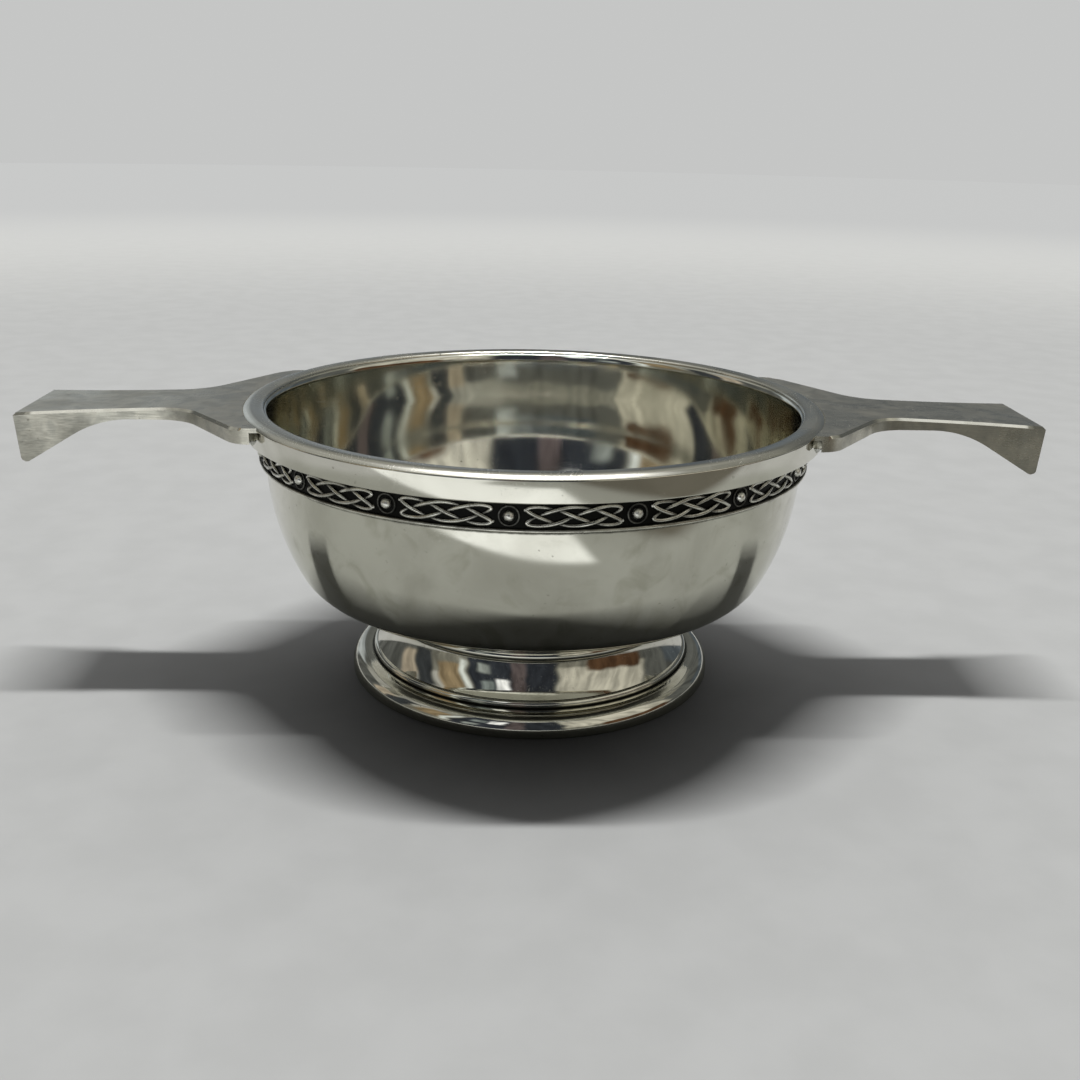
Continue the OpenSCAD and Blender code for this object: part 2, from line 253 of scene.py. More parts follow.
def paint(tree, under, mask, colour):
    """A colour laid over another where a mask allows."""
    over = add_node(tree, "ShaderNodeMix", {"Factor": mask, "A": under}, data_type="RGBA")
    over.inputs["B"].default_value = (*colour, 1)
    return over.outputs["Result"]


def stain(tree, under, mask, depth, tint):
    """A colour darkened by a tint where a mask allows, as far as a depth from 0 to 1."""
    over = add_node(tree, "ShaderNodeMix", {"A": under}, data_type="RGBA", blend_type="MULTIPLY")
    over.inputs["B"].default_value = (*tint, 1)
    tree.links.new(math_node(tree, "MULTIPLY", mask, depth), over.inputs["Factor"])
    return over.outputs["Result"]


turning_lines = turning_lines_group()
handling = handling_group()
fleck_tint = (0.35, 0.34, 0.3)
fleck_rough = 0.15
scratch_rough = 0.12
scratch_depth = 0.0000015


def pewter(name, dull, bright, polish, line_depth=0.0, dent_depth=0.0, fleck_depth=0.5, smear=60.0):
    """Pewter from a dull to a bright tone, with polish as the least and most roughness."""
    material = bpy.data.materials.new(name)
    material.use_nodes = True
    tree = material.node_tree
    shader = tree.nodes["Principled BSDF"]
    shader.inputs["Metallic"].default_value = 1.0
    ring = add_node(tree, "ShaderNodeGroup", node_tree=turning_lines)
    marks = add_node(tree, "ShaderNodeGroup", node_tree=handling)
    marks.inputs["Smear Size"].default_value = smear
    tone = paint(tree, (*bright, 1), marks.outputs["Smear"], dull)
    tone = stain(tree, tone, marks.outputs["Fleck"], fleck_depth, fleck_tint)
    tree.links.new(tone, shader.inputs["Base Color"])
    rough = remap(tree, marks.outputs["Smear"], 0.0, 1.0, polish[0], polish[1], "LINEAR")
    rough = math_node(tree, "MULTIPLY_ADD", marks.outputs["Scratch"], scratch_rough, rough)
    rough = math_node(tree, "MULTIPLY_ADD", marks.outputs["Fleck"], fleck_rough, rough)
    tree.links.new(rough, shader.inputs["Roughness"])
    height = math_node(tree, "MULTIPLY", ring.outputs["Lines"], line_depth)
    height = math_node(tree, "MULTIPLY_ADD", marks.outputs["Dent"], dent_depth, height)
    height = math_node(tree, "MULTIPLY_ADD", marks.outputs["Scratch"], -scratch_depth, height)
    bump = add_node(tree, "ShaderNodeBump", {"Height": height, "Strength": 1.0, "Distance": 1.0})
    tree.links.new(bump.outputs["Normal"], shader.inputs["Normal"])
    return material


bright_pewter = (0.76, 0.745, 0.67)
dull_pewter = (0.62, 0.605, 0.535)
# Painted shade in creases: its tone, extra roughness, and how far it reaches.
crease_shade_tone = (0.045, 0.045, 0.036)
crease_shade_rough = 0.3
crease_shade_grain = 700.0
crease_shade_stray = 0.3
crease_shade_full = 0.55
crease_shade_end = 1.1


def painted_crease_shade(material, creases):
    """Painted shade, dark and rougher, round creases, each a radius, a height and a reach."""
    tree = material.node_tree
    shader = tree.nodes["Principled BSDF"]
    place = add_node(tree, "ShaderNodeTexCoord").outputs["Object"]
    out, height = axis_place(tree, place)
    crease_shade = 0.0
    for radius, level, reach in creases:
        beside = math_node(tree, "POWER", math_node(tree, "SUBTRACT", out, radius), 2.0)
        above = math_node(tree, "POWER", math_node(tree, "SUBTRACT", height, level), 2.0)
        away = math_node(tree, "SQRT", math_node(tree, "ADD", beside, above))
        away = math_node(tree, "MULTIPLY_ADD", noise(tree, place, crease_shade_grain, 3.0), crease_shade_stray * reach, away)
        near = remap(tree, away, crease_shade_full * reach, crease_shade_end * reach, 1.0, 0.0)
        crease_shade = math_node(tree, "MAXIMUM", crease_shade, near)
    metal = shader.inputs["Base Color"].links[0].from_socket
    gloss = shader.inputs["Roughness"].links[0].from_socket
    tree.links.new(paint(tree, metal, crease_shade, crease_shade_tone), shader.inputs["Base Color"])
    tree.links.new(math_node(tree, "MULTIPLY_ADD", crease_shade, crease_shade_rough, gloss), shader.inputs["Roughness"])


def clouds(material, fineness, edges, tint, depth):
    """Clouds of tarnish that tint a finish."""
    tree = material.node_tree
    shader = tree.nodes["Principled BSDF"]
    metal = shader.inputs["Base Color"].links[0].from_socket
    place = add_node(tree, "ShaderNodeTexCoord").outputs["Object"]
    cloud = remap(tree, noise(tree, place, fineness, 7.0, 0.8), edges[0], edges[1])
    tree.links.new(stain(tree, metal, cloud, depth, tint), shader.inputs["Base Color"])


inside_bright = (0.81, 0.8, 0.73)
inside_dull = (0.66, 0.655, 0.585)
outside = pewter("bowl_outside", dull_pewter, bright_pewter, polish=(0.06, 0.13),
                 line_depth=0.0000008, dent_depth=0.000018)
clouds(outside, fineness=130.0, edges=(0.5, 0.72), tint=(0.66, 0.66, 0.6), depth=0.55)
# Painted shade along the crease under the border wire.
painted_crease_shade(outside, [(wall_r, ring_low, 0.0008)])
inside = pewter("bowl_inside", inside_dull, inside_bright, polish=(0.05, 0.11),
                line_depth=0.000001, dent_depth=0.000025, fleck_depth=0.7)
bowl.data.materials.append(outside)
bowl.data.materials.append(inside)
bowl_middle = Vector((0, 0, ring_low))
for face in bowl.data.polygons:
    face.material_index = int(face.normal.dot(face.center - bowl_middle) < 0)

# Rim wire. Low half-round pewter wire, bent into a hoop and soldered on top of the wall and
# the collar. Its butted ends leave a fine open seam at the back.
wire_low, wire_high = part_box("rim_wire")
rim_ledge = 0.0007
inner_share = 0.8
crown_slope = math.radians(9)
seam_angle = 114
seam_width = 0.00025
OUTER_STEPS = 14
CROWN_STEPS = 8
INWARD_STEPS = 10
wire_h = wire_high.z - wire_low.z
wire_inner = wall_r - wall + rim_ledge
inner_round = inner_share * wire_h
inner_c = Vector((wire_inner + inner_round, wire_low.z))
crown_fall = 1 - math.cos(crown_slope)
crown_r = (wire_h - inner_round * (1 - crown_fall)) / crown_fall
crown_x = inner_c.x + (crown_r - inner_round) * math.sin(crown_slope)
crown_c = Vector((crown_x, wire_high.z - crown_r))
crown_end = 90 + math.degrees(crown_slope)
outer_half = rim_r - crown_x
outer_round = (outer_half ** 2 + wire_h ** 2) / (2 * wire_h)
outer_c = Vector((crown_x, wire_high.z - outer_round))
outer_start = 90 - math.degrees(math.asin(outer_half / outer_round))
wire_section = arc(outer_c, outer_round, outer_start, 90, OUTER_STEPS)
wire_section += arc(crown_c, crown_r, 90, crown_end, CROWN_STEPS)[1:]
wire_section += arc(inner_c, inner_round, crown_end, 180, INWARD_STEPS)[1:]
seam_turn = math.degrees(seam_width / rim_r)
rim_shape = turned(wire_section, True, sweep=360 - seam_turn, start=seam_angle)
rim_wire = new_piece("rim_hoop", rim_shape, sharp_angle=50)
rim_finish = pewter("rim_polish", dull_pewter, bright_pewter, polish=(0.18, 0.3),
                    line_depth=0.000001, dent_depth=0.00002)
rim_wire.data.materials.append(rim_finish)
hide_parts("rim_wire")
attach(rim_wire, "root")

# Collar. A heavy plain ring that is pressed over the wall and soldered there. It takes the
# pull of the lugs, and its face is polished with the bowl.
collar_low, collar_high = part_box("collar")
collar_edge = 0.0003
collar_section = [Vector((wall_r, collar_low.z)), Vector((rim_r, collar_low.z)),
                  Vector((rim_r, collar_high.z)), Vector((wall_r, collar_high.z))]
collar_rounds = {1: collar_edge, 2: collar_edge}
collar = new_piece("collar_ring", turned(collar_section, True, rounded=collar_rounds), sharp_angle=40)
collar_finish = pewter("collar_polish", dull_pewter, bright_pewter, polish=(0.06, 0.13),
                       line_depth=0.0000008, dent_depth=0.000016)
collar.data.materials.append(collar_finish)
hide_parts("collar")
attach(collar, "root")

# Knotwork band. A strip rolled with relief, bent round the wall under the collar. Its ground
# is blackened, and the straps and bosses that stand above it are rubbed bright.
band_low, band_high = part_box("knot_band")
strip_t = 0.0009
relief = 0.0005
rail_h = 0.0008
rail_soft = 0.0002
ground_r = wall_r + strip_t
rail_r = ground_r + relief
rail_low = band_high.z - rail_h
strip_section = [Vector((wall_r, band_low.z)), Vector((ground_r, band_low.z)), Vector((ground_r, rail_low)),
                 Vector((rail_r, rail_low)), Vector((rail_r, band_high.z)), Vector((wall_r, band_high.z))]
strip_shape = turned(strip_section, True, rounded={3: rail_soft, 4: rail_soft})
strip = new_piece("band_strip", strip_shape)

panels = 16
boss_start = math.radians(-5.3)
panel_turn = 2 * math.pi / panels
knot_z = (band_low.z + rail_low) / 2
strap_r = 0.00037
strap_gap = 0.00014
boss_r = 0.001
boss_ring_r = 0.00175
boss_ring_t = 0.00046
knot_space = 0.00065
pellet_r = 0.00032
pellet_out = 0.00275
pellet_rise = 0.0011
knot_half_h = (rail_low - band_low.z) / 2 - strap_r - strap_gap
knot_half_l = math.pi * ground_r / panels - boss_ring_r - boss_ring_t / 2 - knot_space - strap_r
passes = 4
swings = 3
swing_start = math.radians(45)
end_turn = 6
crossings = [(30, 150), (225, 45), (60, 300), (285, 105), (120, 240), (165, 345), (330, 210)]
crossing_reach = 15
weave_lift = 0.0002
KNOT_STEPS = 144
RING_STEPS = 36


def on_drum(turn, along, up, out):
    """A point on the band's drum: along the band from an angle, above its middle, and out of its ground."""
    angle = turn + along / ground_r
    radius = ground_r + out
    return Vector((radius * math.sin(angle), -radius * math.cos(angle), knot_z + up))


def knot_point(place):
    """A place from 0 to 360 on a knot's closed strap, as along, up and out."""
    leg = (place * passes / 360) % 2
    way = 1 - 2 * abs(1 - leg)
    along = knot_half_l * way * (end_turn + 1 - abs(way) ** end_turn) / end_turn
    up = -knot_half_h * math.sin(math.radians(swings * place) + swing_start)
    out = 0
    for over, under in crossings:
        for spot, lift in ((over, weave_lift), (under, -weave_lift)):
            away = abs((place - spot + 180) % 360 - 180)
            if away < crossing_reach:
                out += lift * math.cos(math.pi / 2 * away / crossing_reach) ** 2
    return along, up, out


def wire_loops(name, loops, thickness):
    """A mesh of closed round wires that follow loops of points."""
    curve = bpy.data.curves.new(name, "CURVE")
    curve.dimensions = "3D"
    curve.bevel_depth = thickness
    curve.bevel_resolution = 3
    for loop in loops:
        spline = curve.splines.new("POLY")
        spline.points.add(len(loop) - 1)
        spline.use_cyclic_u = True
        for point, spot in zip(spline.points, loop):
            point.co = (*spot, 1)
    drawn = bpy.data.objects.new(name, curve)
    shape = bmesh.new()
    shape.from_mesh(drawn.to_mesh())
    drawn.to_mesh_clear()
    bpy.data.objects.remove(drawn)
    bmesh.ops.remove_doubles(shape, verts=shape.verts, dist=MERGE_GAP)
    bmesh.ops.recalc_face_normals(shape, faces=shape.faces)
    return new_piece(name, shape, sharp_angle=80)


knot_loops = []
ring_loops = []
boss_shape = bmesh.new()
for panel in range(panels):
    boss_turn = boss_start + panel * panel_turn
    knot_turn = boss_turn + panel_turn / 2
    places = [360 * i / KNOT_STEPS for i in range(KNOT_STEPS)]
    knot_loops.append([on_drum(knot_turn, *knot_point(place)) for place in places])
    ring_loop = []
    for i in range(RING_STEPS):
        spoke = 2 * math.pi * i / RING_STEPS
        along = boss_ring_r * math.cos(spoke)
        up = boss_ring_r * math.sin(spoke)
        ring_loop.append(on_drum(boss_turn, along, up, 0))
    ring_loops.append(ring_loop)
    bmesh.ops.create_uvsphere(boss_shape, u_segments=20, v_segments=14, radius=boss_r,
                              matrix=Matrix.Translation(on_drum(boss_turn, 0, 0, 0)))
    for side in (-1, 1):
        spot = on_drum(boss_turn, side * pellet_out, side * pellet_rise, 0)
        bmesh.ops.create_uvsphere(boss_shape, u_segments=12, v_segments=8, radius=pellet_r,
                                  matrix=Matrix.Translation(spot))
knots = wire_loops("band_knots", knot_loops, strap_r)
rings = wire_loops("boss_rings", ring_loops, boss_ring_t / 2)
bosses = new_piece("band_bosses", boss_shape, sharp_angle=80)

ground_black = (0.012, 0.012, 0.011)
ground_rough = 0.55
wear_grain = 2600.0
wear_reach = 0.00016
wear_start = 0.00018
wear_full = 0.00044
shade_start = 0.0004
shade_full = 0.0006
relief_polish = (0.16, 0.3)
relief_smear = 400.0


def blackened_relief(name, dull, bright):
    """Pewter that is bright where it stands proud of the band's ground and black in the hollows."""
    material = pewter(name, dull, bright, relief_polish, fleck_depth=0.6, smear=relief_smear)
    tree = material.node_tree
    shader = tree.nodes["Principled BSDF"]
    metal = shader.inputs["Base Color"].links[0].from_socket
    gloss = shader.inputs["Roughness"].links[0].from_socket
    place = add_node(tree, "ShaderNodeTexCoord").outputs["Object"]
    out, height = axis_place(tree, place)
    worn = math_node(tree, "MULTIPLY_ADD", noise(tree, place, wear_grain, 3.0), wear_reach, out)
    proud = remap(tree, worn, ground_r + wear_start, ground_r + wear_full)
    # Painted shadow of the collar: the relief is painted ground black just under its overhang.
    collar_shadow = remap(tree, height, band_high.z - shade_full, band_high.z - shade_start, 1.0, 0.0)
    proud = math_node(tree, "MULTIPLY", proud, collar_shadow)
    tone = add_node(tree, "ShaderNodeMix", {"Factor": proud, "B": metal}, data_type="RGBA")
    tone.inputs["A"].default_value = (*ground_black, 1)
    tree.links.new(tone.outputs["Result"], shader.inputs["Base Color"])
    rough = add_node(tree, "ShaderNodeMix", {"Factor": proud, "B": gloss})
    rough.inputs["A"].default_value = ground_rough
    tree.links.new(rough.outputs[0], shader.inputs["Roughness"])
    return material


boss_dull = (0.7, 0.69, 0.64)
boss_bright = (0.9, 0.89, 0.84)
boss_finish = pewter("boss_polish", boss_dull, boss_bright, polish=(0.3, 0.42),
                     fleck_depth=0.4, smear=relief_smear)
rubbed_relief = blackened_relief("rubbed_relief", dull=(0.42, 0.41, 0.37), bright=(0.72, 0.71, 0.65))
# A darker copy of the relief: on the strip's rail it is painted shade under the collar, on the rings dirt.
shade_and_dirt_relief = blackened_relief("shade_and_dirt_relief", dull=(0.13, 0.13, 0.12), bright=(0.3, 0.295, 0.27))
band_finishes = [(strip, shade_and_dirt_relief), (knots, rubbed_relief), (rings, shade_and_dirt_relief), (bosses, boss_finish)]
for piece, finish in band_finishes:
    piece.data.materials.append(finish)
    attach(piece, "root")
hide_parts("knot_band")

# Border wire. Plain half-round pewter wire, bent into a hoop and soldered to the wall under
# the band, to hide its lower edge.
border_low, border_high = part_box("border_wire")
border_dull = (0.4, 0.39, 0.35)
BORDER_STEPS = 12
border_round = (border_high.z - border_low.z) / 2
border_center = Vector((border_high.x - border_round, border_low.z + border_round))
border_section = [Vector((wall_r, border_low.z))]
border_section += arc(border_center, border_round, -90, 90, BORDER_STEPS)
border_section += [Vector((wall_r, border_high.z))]
border = new_piece("border_hoop", turned(border_section, True))
border_finish = pewter("border_polish", border_dull, bright_pewter, polish=(0.14, 0.3), smear=200.0)
# Painted shade in the creases above and below the border wire.
painted_crease_shade(border_finish, [(border_center.x, border_high.z, 0.00062), (wall_r, border_low.z, 0.0011)])
border.data.materials.append(border_finish)
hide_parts("border_wire")
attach(border, "root")

# Foot. Spun from one sheet: a bead under the bowl, a hollow neck that spreads to a round
# ridge, an upright step, and a quarter-round flange whose edge stands on the table.
foot_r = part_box("foot")[1].x
foot_t = 0.0013
foot_edge_h = 0.0012
ridge_r = 0.0347
ridge_h = 0.0058
ridge_lip = 0.0008
ridge_step = 0.0015
neck_r = 0.031
neck_rise = 0.00155
neck_tuck = 0.0007
hollow_r = 0.0146
bead_r = 0.0015
foot_soft = 0.0003
BEAD_STEPS = 20
HOLLOW_STEPS = 16
RIDGE_STEPS = 8
FLANGE_STEPS = 16
INNER_STEPS = 12


def base_z(radius):
    """Height of the bowl's underside at a radius."""
    return base_c.y - math.sqrt(base_r ** 2 - radius ** 2)


neck = Vector((neck_r, base_z(neck_r) - neck_rise - 2 * bead_r))
ridge = Vector((ridge_r - ridge_lip, ridge_h))
hollow_top = neck - Vector((neck_tuck, 0))
spread = ridge - hollow_top
outward = Vector((-spread.y, spread.x)).normalized()
hollow_c = (hollow_top + ridge) / 2 + outward * math.sqrt(hollow_r ** 2 - spread.length_squared / 4)
flange_h = ridge_h - ridge_step
round_r = flange_h - foot_edge_h
round_c = Vector((foot_r - round_r, foot_edge_h))
neck_angle = angle_of(hollow_top, hollow_c) % 360
ridge_angle = angle_of(ridge, hollow_c) % 360
inner_neck = Vector((neck_r - foot_t, 0))

foot_section = [Vector((neck_r, base_z(neck_r)))]
foot_section += arc(neck + Vector((0, bead_r)), bead_r, 90, -90, BEAD_STEPS)
foot_section += arc(hollow_c, hollow_r, neck_angle, ridge_angle, HOLLOW_STEPS)
foot_section += arc(ridge - Vector((0, ridge_lip)), ridge_lip, 90, 0, RIDGE_STEPS)[1:]
foot_section += [Vector((ridge_r, flange_h))]
foot_section += arc(round_c, round_r, 90, 0, FLANGE_STEPS)
foot_section += [Vector((foot_r, 0)), Vector((foot_r - foot_t, 0))]
sole_number = len(foot_section) - 2
foot_section += arc(round_c, round_r - foot_t, 0, 90, INNER_STEPS)
foot_section += [Vector((ridge_r - foot_t, flange_h - foot_t))]
foot_section += arc(hollow_c, hollow_r + foot_t, ridge_angle, neck_angle, HOLLOW_STEPS)
foot_section += [Vector((inner_neck.x, base_z(inner_neck.x)))]
foot_rounds = {sole_number: foot_soft, sole_number + 1: foot_soft}
foot = new_piece("spread_foot", turned(foot_section, True, rounded=foot_rounds), sharp_angle=40)
foot_finish = pewter("foot_polish", dull_pewter, bright_pewter, polish=(0.025, 0.07),
                     line_depth=0.0000006, dent_depth=0.000016)
# Painted shade in the crease under the bead and at the foot of the ridge's step.
painted_crease_shade(foot_finish, [(hollow_top.x, neck.y, 0.0007), (ridge_r, flange_h, 0.0007)])
foot.data.materials.append(foot_finish)
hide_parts("foot")
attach(foot, "root")

# Lugs. Two flat castings, filed to shape and soldered to the collar: a wide root cut to the
# rim, a stem, and an end that deepens below. Their tops are satin and clouded with use, the
# fronts keep file marks, and a bright chamfer is filed along the upper edges.
chamfer = 0.0005
root_reach = 0.0026
satin_bright = (0.7, 0.675, 0.59)
satin_dull = (0.46, 0.445, 0.39)
cloud_tint = (0.62, 0.64, 0.66)
streak_tint = (0.7, 0.7, 0.7)
file_stretch = (140.0, 4200.0, 4200.0)
file_rough = 0.09
file_depth = 0.000003
copy_merge = 1e-6
outline_merge = 0.0004
flat_limit = math.radians(0.8)
corner_limit = math.radians(25)
upward_limit = 0.9


def satin_lug(name):
    """Satin pewter, clouded on top, with marks drawn along the lug."""
    material = pewter(name, satin_dull, satin_bright, polish=(0.24, 0.36),
                      dent_depth=0.00003, fleck_depth=0.3, smear=75.0)
    clouds(material, fineness=240.0, edges=(0.38, 0.66), tint=cloud_tint, depth=0.55)
    tree = material.node_tree
    shader = tree.nodes["Principled BSDF"]
    gloss = shader.inputs["Roughness"].links[0].from_socket
    metal = shader.inputs["Base Color"].links[0].from_socket
    place = add_node(tree, "ShaderNodeTexCoord").outputs["Object"]
    drawn = add_node(tree, "ShaderNodeVectorMath", {0: place, 1: file_stretch},
                     operation="MULTIPLY").outputs[0]
    file_marks = remap(tree, noise(tree, drawn, 1.0, 2.0), 0.3, 0.75)
    rough = math_node(tree, "MULTIPLY_ADD", file_marks, file_rough, gloss)
    tree.links.new(rough, shader.inputs["Roughness"])
    bump = tree.nodes["Bump"]
    height = bump.inputs["Height"].links[0].from_socket
    tree.links.new(math_node(tree, "MULTIPLY_ADD", file_marks, file_depth, height), bump.inputs["Height"])
    tree.links.new(stain(tree, metal, file_marks, 0.5, streak_tint), shader.inputs["Base Color"])
    return material


lug_finish = satin_lug("lug_satin")
edge_finish = pewter("lug_edge", dull_pewter, bright_pewter, polish=(0.12, 0.26),
                     dent_depth=0.00003, fleck_depth=0.8, smear=150.0)
for node_name, piece_name in (("left_lug", "left_casting"), ("right_lug", "right_casting")):
    casting = bmesh.new()
    casting.from_mesh(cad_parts[node_name].data)
    bmesh.ops.remove_doubles(casting, verts=casting.verts, dist=copy_merge)
    free = [v for v in casting.verts if v.co.xy.length > rim_r + root_reach]
    bmesh.ops.remove_doubles(casting, verts=free, dist=outline_merge)
    bmesh.ops.dissolve_limit(casting, angle_limit=flat_limit, verts=casting.verts, edges=casting.edges)
    share = casting.edges.layers.float.new("bevel_weight_edge")
    for line in casting.edges:
        at_root = min(v.co.xy.length for v in line.verts) < rim_r + root_reach
        upper = max(f.normal.z for f in line.link_faces) > upward_limit
        line[share] = float(upper and not at_root and line.calc_face_angle(0) > corner_limit)
    bmesh.ops.recalc_face_normals(casting, faces=casting.faces)
    lug = new_piece(piece_name, casting, sharp_angle=30)
    filed = lug.modifiers.new("filed_edges", "BEVEL")
    filed.limit_method = "WEIGHT"
    filed.width = chamfer
    filed.segments = 1
    filed.use_clamp_overlap = False
    filed.material = 1
    lug.modifiers.new("flat_faces", "WEIGHTED_NORMAL").keep_sharp = True
    lug.data.materials.append(lug_finish)
    lug.data.materials.append(edge_finish)
    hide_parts(node_name)
    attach(lug, "root")

# Solder. Grey seams left where the lugs meet the collar and the foot meets the bowl, wiped
# and scraped but not polished.
solder_dull = (0.3, 0.3, 0.29)
solder_bright = (0.5, 0.5, 0.48)
solder = pewter("wiped_solder", solder_dull, solder_bright, polish=(0.35, 0.5),
                dent_depth=0.00003, fleck_depth=0.8, smear=500.0)
for node_name in ("left_lug_solder", "right_lug_solder", "foot_solder"):
    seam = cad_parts[node_name]
    for slot in seam.material_slots:
        slot.material = solder

# Floor and light. A plain pale table top, lit by one long lamp above and slightly behind the
# bowl. Polished metal also shows a pale ceiling and pale and dark panels that stand round the
# bowl. For reflections only, the table's colour holds a painted shade in front, a glowing painted
# pool of light and a painted dark patch, all out of the camera's view.
floor_r = 3.0
floor_dark = (0.535, 0.54, 0.53)
floor_pale = (0.565, 0.57, 0.56)
backdrop = (0.56, 0.565, 0.56)
black = (0.0, 0.0, 0.0)
haze_start = 0.45
haze_full = 1.5
# Painted shade on the table in front, seen only in reflections.
front_shade_tone = (0.41, 0.42, 0.39)
front_shade_bounds = (-0.24, 0.24, -1.2, 0.03)
# A painted pool of light on the table, glowing and seen only in reflections.
light_pool_tone = (0.8, 0.83, 0.84)
light_pool_bounds = (-0.45, 0.04, -0.32, -0.125)
light_pool_slant = -0.29
far_light_pool_bounds = (-0.9, -0.12, -1.4, -0.3)
# A painted dark patch on the table, seen only in reflections.
dark_reflection_tone = (0.15, 0.14, 0.115)
dark_reflection_bounds = (0.11, 0.9, -0.9, -0.1)
light_pool_glow = 0.4
glow_tone = (1.0, 1.0, 0.95, 1.0)
floor_shape = bmesh.new()
bmesh.ops.create_circle(floor_shape, cap_ends=True, segments=96, radius=floor_r)
floor = new_piece("table_top", floor_shape)


def window_mask(tree, value, low, high, soft):
    """1 where a value lies between two bounds, with soft edges."""
    after = remap(tree, value, low - soft, low + soft)
    return math_node(tree, "MULTIPLY", after, remap(tree, value, high - soft, high + soft, 1.0, 0.0))


def patch_mask(tree, across, upward, bounds, soft):
    """1 inside a rectangle of two values, with soft edges."""
    return math_node(tree, "MULTIPLY", window_mask(tree, across, bounds[0], bounds[1], soft),
                     window_mask(tree, upward, bounds[2], bounds[3], soft))


table_finish = bpy.data.materials.new("pale_table")
table_finish.use_nodes = True
tree = table_finish.node_tree
shader = tree.nodes["Principled BSDF"]
shader.inputs["Roughness"].default_value = 0.7
shader.inputs["Specular IOR Level"].default_value = 0.12
place = add_node(tree, "ShaderNodeTexCoord").outputs["Object"]
speckle = remap(tree, noise(tree, place, 70.0, 6.0), 0.3, 0.7)
split = add_node(tree, "ShaderNodeSeparateXYZ", {0: place})
across, back = split.outputs[0], split.outputs[1]
slanted = math_node(tree, "MULTIPLY_ADD", across, light_pool_slant, back)
ray = add_node(tree, "ShaderNodeLightPath")
mirrored = ray.outputs["Is Glossy Ray"]
away = add_node(tree, "ShaderNodeVectorMath", {0: place}, operation="LENGTH").outputs["Value"]
haze = math_node(tree, "MULTIPLY", remap(tree, away, haze_start, haze_full), ray.outputs["Is Camera Ray"])
# Painted shade in front, for mirrored rays only.
front_shade_mask = patch_mask(tree, across, back, front_shade_bounds, 0.05)
# Painted pool of light, for mirrored rays only, which also glows.
light_pool_mask = patch_mask(tree, across, slanted, light_pool_bounds, 0.005)
light_pool_mask = math_node(tree, "MAXIMUM", light_pool_mask, patch_mask(tree, across, back, far_light_pool_bounds, 0.02))
light_pool_mask = math_node(tree, "MULTIPLY", light_pool_mask, mirrored)
# Painted dark patch, for mirrored rays only.
dark_reflection_mask = patch_mask(tree, across, back, dark_reflection_bounds, 0.02)
table_tone = paint(tree, (*floor_dark, 1), speckle, floor_pale)
table_tone = paint(tree, table_tone, math_node(tree, "MULTIPLY", front_shade_mask, mirrored), front_shade_tone)
table_tone = paint(tree, table_tone, light_pool_mask, light_pool_tone)
table_tone = paint(tree, table_tone, math_node(tree, "MULTIPLY", dark_reflection_mask, mirrored), dark_reflection_tone)
tree.links.new(paint(tree, table_tone, haze, black), shader.inputs["Base Color"])
tree.links.new(paint(tree, glow_tone, haze, backdrop), shader.inputs["Emission Color"])
glow = math_node(tree, "MULTIPLY_ADD", light_pool_mask, light_pool_glow, haze)
tree.links.new(glow, shader.inputs["Emission Strength"])
floor.data.materials.append(table_finish)

lamp_data = bpy.data.lights.new("long_lamp", "AREA")
lamp_data.energy = 52
lamp_data.shape = "RECTANGLE"
lamp_data.size = 1.2
lamp_data.size_y = 0.09
lamp = bpy.data.objects.new("long_lamp", lamp_data)
lamp.location = (0, 0.4, 2.6)
lamp.rotation_euler = (-lamp.location).to_track_quat("-Z", "Y").to_euler()
bpy.context.scene.collection.objects.link(lamp)

# Each panel's azimuth from the front, positive to the right, its elevation, in degrees, and its colour.
studio_panels = [
    ((-200, 200, 30, 60), (0.27, 0.27, 0.24)),
    ((-150, -70, 26, 60), (0.42, 0.42, 0.39)),
    ((-200, 200, 60, 100), (0.85, 0.86, 0.84)),
    ((-200, 200, 68, 100), (1.1, 1.1, 1.08)),
    ((-200, -164, -5, 14), (0.24, 0.27, 0.3)),
    ((-164, -147, -5, 24), (0.5, 0.54, 0.56)),
    ((120, 200, -5, 14), (0.11, 0.13, 0.15)),
    ((22, 97, 10, 54), (0.62, 0.6, 0.52)),
    ((44, 92, -2, 16), (0.1, 0.055, 0.03)),
    ((-50, 20, -20, 60), (0.035, 0.04, 0.05)),
    ((-42, -32, 8, 22), (0.3, 0.33, 0.32)),
    ((-42, -31, 33, 46), (0.26, 0.3, 0.3)),
    ((-28, -18, 30, 50), (1.1, 1.12, 1.15)),
    ((-16, -4, 0, 58), (0.11, 0.09, 0.092)),
    ((-57, -52, 4, 50), (0.8, 0.85, 0.83)),
    ((-77, -58, 12, 44), (0.32, 0.245, 0.15)),
    ((-98, -83, 0, 40), (0.045, 0.05, 0.055)),
    ((-112, -99, 4, 30), (0.45, 0.39, 0.31)),
]
rear_wall = (0.12, 0.125, 0.12)
front_wall = (0.24, 0.235, 0.2)
panel_soft = 2.5
panel_bend = 6.0
stripe_across = 0.16
stripe_up = 0.03
fill_least = 0.012
fill_behind = 0.72

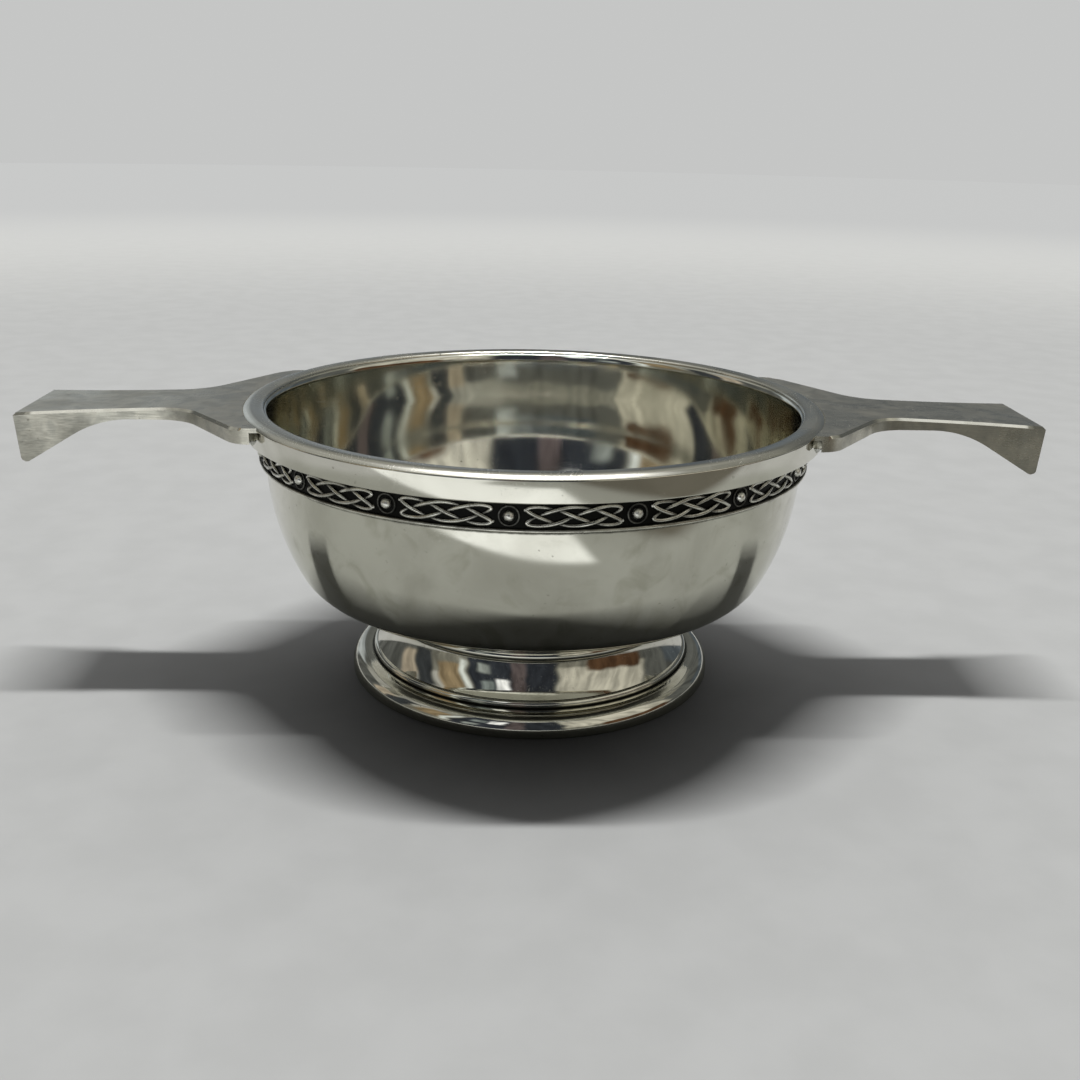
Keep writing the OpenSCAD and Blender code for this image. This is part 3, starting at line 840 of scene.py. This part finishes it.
world = bpy.data.worlds.new("studio")
bpy.context.scene.world = world
world.use_nodes = True
tree = world.node_tree
sky = tree.nodes["Background"]
heading = add_node(tree, "ShaderNodeTexCoord").outputs["Generated"]
way = add_node(tree, "ShaderNodeSeparateXYZ", {0: heading})
toward_front = math_node(tree, "MULTIPLY", way.outputs[1], -1.0)
azimuth = math_node(tree, "DEGREES", math_node(tree, "ARCTAN2", way.outputs[0], toward_front))
elevation = math_node(tree, "DEGREES", math_node(tree, "ARCSINE", way.outputs[2]))
bend_across = math_node(tree, "SUBTRACT", noise(tree, heading, 4.0, 0.0), 0.5)
azimuth = math_node(tree, "MULTIPLY_ADD", bend_across, panel_bend, azimuth)
bend_up = math_node(tree, "SUBTRACT", noise(tree, heading, 5.0, 0.0), 0.5)
elevation = math_node(tree, "MULTIPLY_ADD", bend_up, panel_bend, elevation)
room = paint(tree, (*rear_wall, 1), remap(tree, toward_front, -0.2, 0.3), front_wall)
for bounds, colour in studio_panels:
    room = paint(tree, room, patch_mask(tree, azimuth, elevation, bounds, panel_soft), colour)
stripe = add_node(tree, "ShaderNodeCombineXYZ", {
    0: math_node(tree, "MULTIPLY", azimuth, stripe_across),
    1: math_node(tree, "MULTIPLY", elevation, stripe_up),
}).outputs[0]
stripe = remap(tree, noise(tree, stripe, 1.0, 3.0), 0.3, 0.7, 0.6, 1.2)
room = add_node(tree, "ShaderNodeVectorMath", {0: room, "Scale": stripe}, operation="SCALE").outputs[0]
ray = add_node(tree, "ShaderNodeLightPath")
seen = math_node(tree, "MAXIMUM", ray.outputs["Is Glossy Ray"], ray.outputs["Is Transmission Ray"])
behind = math_node(tree, "MULTIPLY", way.outputs[1], 0.6)
behind_above = math_node(tree, "MULTIPLY_ADD", way.outputs[2], 0.8, behind)
behind_above = math_node(tree, "POWER", math_node(tree, "MAXIMUM", behind_above, 0.0), 3.0)
fill = math_node(tree, "MULTIPLY_ADD", behind_above, fill_behind, fill_least)
lit = add_node(tree, "ShaderNodeMix", {"Factor": seen, "A": fill, "B": room}, data_type="RGBA")
view = paint(tree, lit.outputs["Result"], ray.outputs["Is Camera Ray"], backdrop)
tree.links.new(view, sky.inputs["Color"])

# The bowl mirrors its own inside several times, and throws no bright flecks on the table.
bpy.context.scene.cycles.glossy_bounces = 8
bpy.context.scene.cycles.caustics_reflective = False
bpy.context.scene.view_settings.view_transform = "Standard"

# Camera. Held close to the bowl and a little above the rim, looking down on the front, with
# a slight roll.
camera_data = bpy.data.cameras.new("viewer")
camera_data.sensor_width = 36
camera_data.lens = 40.755
camera_data.clip_start = 0.01
camera = bpy.data.objects.new("viewer", camera_data)
bpy.context.scene.collection.objects.link(camera)
bpy.context.scene.camera = camera
stand_azimuth = math.radians(-1.30)
stand_distance = 0.253604
stand_height = 0.114599
aim_turn = math.radians(-1.70)
aim_fall = math.radians(18.86)
aim_roll = math.radians(1.20)
level = Vector((-math.sin(aim_turn), math.cos(aim_turn), 0))
aside = Vector((math.cos(aim_turn), math.sin(aim_turn), 0))
forward = level * math.cos(aim_fall) - Vector((0, 0, math.sin(aim_fall)))
upward = level * math.sin(aim_fall) + Vector((0, 0, math.cos(aim_fall)))
right = aside * math.cos(aim_roll) + upward * math.sin(aim_roll)
top = upward * math.cos(aim_roll) - aside * math.sin(aim_roll)
turn = Matrix((right, top, -forward)).transposed().to_4x4()
stand = Vector((math.sin(stand_azimuth), -math.cos(stand_azimuth), 0)) * stand_distance
camera.matrix_world = Matrix.Translation(stand + Vector((0, 0, stand_height))) @ turn

bpy.context.view_layer.update()
